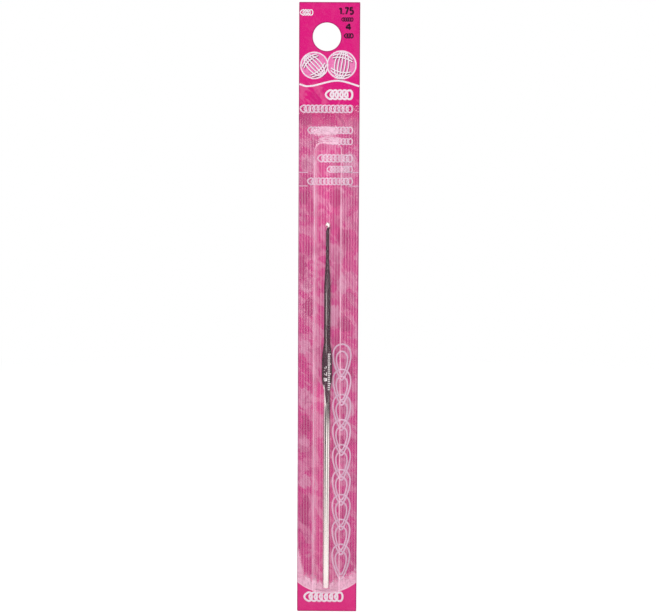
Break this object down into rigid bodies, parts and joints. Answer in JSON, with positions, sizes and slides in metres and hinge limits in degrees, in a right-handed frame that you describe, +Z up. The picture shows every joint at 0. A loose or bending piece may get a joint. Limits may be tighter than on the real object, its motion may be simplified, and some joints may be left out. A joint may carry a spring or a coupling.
{
  "type": "carded crochet hook",
  "caption": "Steel crochet hook with a barbed tip, flat thumb rest and round handle, held in a clear film tunnel sealed to a hanging card.",
  "frame": {"origin": "centre of the hang hole, midway through the card's thickness", "axes": "+Z up the card along the hook, towards its tip; +Y from the printed front to the back; +X to the right seen from the front"},
  "size_m": [0.0206, 0.0032, 0.2095],
  "materials": {
    "plated_steel": "polished nickel plate with fine drawing lines",
    "printed_board": "coated board, printed magenta",
    "clear_film": "clear gloss film",
    "heat_seal": "thin milky heat-seal coat"
  },
  "bodies": {
    "pack": {"card": "printed_board", "film_cover": "clear_film", "top_seal": "heat_seal", "bottom_seal": "heat_seal", "left_seal": "heat_seal", "right_seal": "heat_seal"},
    "hook": {"hook": "plated_steel"}
  },
  "joints": [
    {"name": "hook_slide", "type": "slide", "parent": "pack", "child": "hook", "axis": [0, 0, 1], "range_m": [0, 0.0233]}
  ]
}
